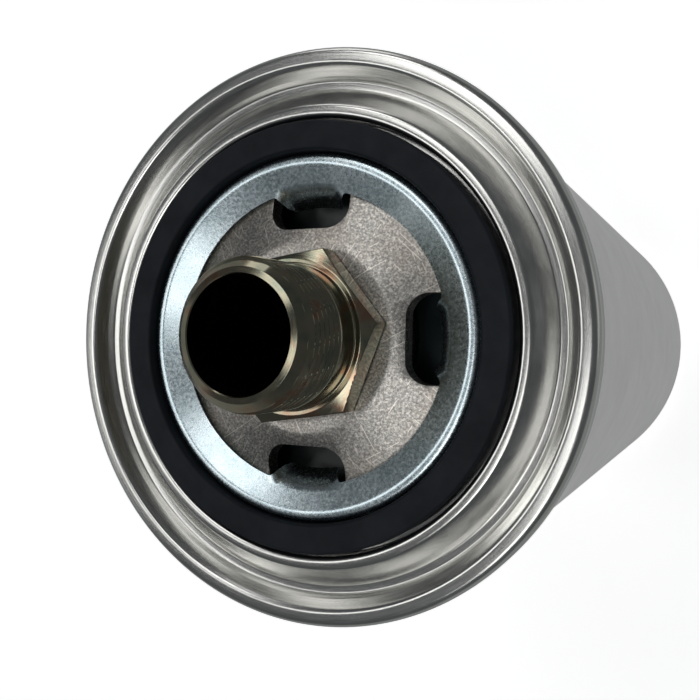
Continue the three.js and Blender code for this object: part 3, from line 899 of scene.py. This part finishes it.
PIECES = {
    "can_shell": can(),
    "seam_compound": washer("compound", "seam_compound", CAN_R - 0.5, 0.12, SIDES),
    "seaming_lid": lid(),
    "mounting_gasket": gasket(),
    "base_plate": plate(),
    "threaded_nipple": nipple(),
    "anti_drain_valve": drain_valve(),
    "nipple_grommet": grommet(),
    "top_end_cap": end_cap("upper_cap", "top_end_cap", 15),
    "bottom_end_cap": end_cap("lower_cap", "bottom_end_cap", 13),
    "top_potting": potting_ring("upper_potting", "top_potting"),
    "bottom_potting": potting_ring("lower_potting", "bottom_potting"),
    "pleated_media": pleats(),
    "media_seam_clip": seam_clip(),
    "centre_tube": centre_tube(),
    "bypass_seat": washer("bypass_seat_ring", "bypass_seat", 7),
    "bypass_seal": washer("bypass_seal_ring", "bypass_seal", 3.5),
    "bypass_poppet": poppet(),
    "bypass_spring": spring_of("poppet_spring", "bypass_spring", 1.1, 4),
    "bypass_cage": cage(),
    "spring_seat": spring_seat(),
    "element_spring": spring_of("foot_spring", "element_spring", 2.2, 3),
}
for node, piece in PIECES.items():
    stands_for(piece, node)


def gives_way(node):
    """Gives the piece its own copy of its mesh."""
    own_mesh(PIECES[node])


gives_way("anti_drain_valve")
gives_way("element_spring")
gives_way("bypass_spring")

# ---- Floor, light and camera ----------------------------------------------------------------


def floor():
    """A plain pale floor that glows a little, and that shiny metal doesn't mirror."""
    reach, bottom, top = 3000, -1.0, -0.2
    outline = np.array([(0, bottom), (reach, bottom), (reach, top), (0, top)])
    made = turned("floor", outline, 64)
    f = Finish("floor_paint", Metallic=0.0, Emission_Color=(1, 1, 1, 1), Emission_Strength=0.7)
    colour = f.ramp(f.noise(300, 2), [(0.3, (0.90, 0.90, 0.90)), (0.7, (0.92, 0.92, 0.92))])
    rough = f.ramp(f.noise(60, 2), [(0.3, 0.7), (0.7, 0.8)])
    made.data.materials.append(f.put(Base_Color=colour, Roughness=rough))
    made.visible_glossy = False


# Soft round lamps one metre from the open end: degrees from straight up, degrees round from +X,
# width in metres, and power.
LAMPS = {
    "key": (27, 114, 0.40, 0.88),
    "overhead": (9, 262, 0.3, 0.52),
    "front": (28, 286, 0.36, 1.0),
    "left": (34, 180, 0.36, 0.62),
    "back": (50, 106, 0.26, 0.5),
    "horizon": (84, 105, 0.4, 0.5),
    "fill": (66, 186, 0.7, 0.32),
    "right": (88, 8, 0.5, 0.15),
}

HORIZON_GLOW = (0.27, 0.28, 0.28)  # the pale surroundings, as shiny metal sees them
SKY_GLOW = (0.085, 0.09, 0.095)
SKY_FROM = 0.2  # how high the horizon's glow reaches, as the sine of the angle above it


def studio():
    """A dim grey surrounding that is paler towards the horizon, and soft lamps round the open end."""
    world = bpy.data.worlds.new("studio")
    world.use_nodes = True
    background = world.node_tree.nodes["Background"]
    background.inputs["Strength"].default_value = 1.0
    nodes = world.node_tree.nodes
    links = world.node_tree.links
    split = nodes.new("ShaderNodeSeparateXYZ")
    links.new(nodes.new("ShaderNodeTexCoord").outputs["Generated"], split.inputs[0])
    ramp = nodes.new("ShaderNodeValToRGB")
    links.new(split.outputs["Z"], ramp.inputs[0])
    links.new(ramp.outputs["Color"], background.inputs["Color"])
    low, high = ramp.color_ramp.elements
    low.position, low.color = 0.0, (*HORIZON_GLOW, 1)
    high.position, high.color = SKY_FROM, (*SKY_GLOW, 1)
    bpy.context.scene.world = world
    target = Vector((0, 0, SEAM_Z * MM))
    for name, (tilt, turn, width, power) in LAMPS.items():
        lamp = bpy.data.lights.new(name, "AREA")
        lamp.shape = "DISK"
        lamp.size = width
        lamp.energy = power
        made = bpy.data.objects.new(name, lamp)
        aim = Vector((0, 0, 1))
        aim.rotate(Euler((0, math.radians(tilt), math.radians(turn))))
        made.location = target + aim
        made.rotation_mode = "QUATERNION"
        made.rotation_quaternion = aim.to_track_quat("Z", "Y")
        bpy.context.scene.collection.objects.link(made)


def camera():
    """The lens, place and tilt that give the open end's view, with the nipple towards the camera."""
    data = bpy.data.cameras.new("camera")
    data.sensor_width = 36
    data.lens = 41.8
    data.clip_start = 0.01
    made = bpy.data.objects.new("camera", data)
    made.location = (0.0674, -0.0024, SEAM_Z * MM + 0.1221)
    made.rotation_euler = (math.radians(0.1), math.radians(25.82), 0)
    bpy.context.scene.collection.objects.link(made)
    bpy.context.scene.camera = made


floor()
studio()
camera()
bpy.context.scene.view_settings.view_transform = "Standard"
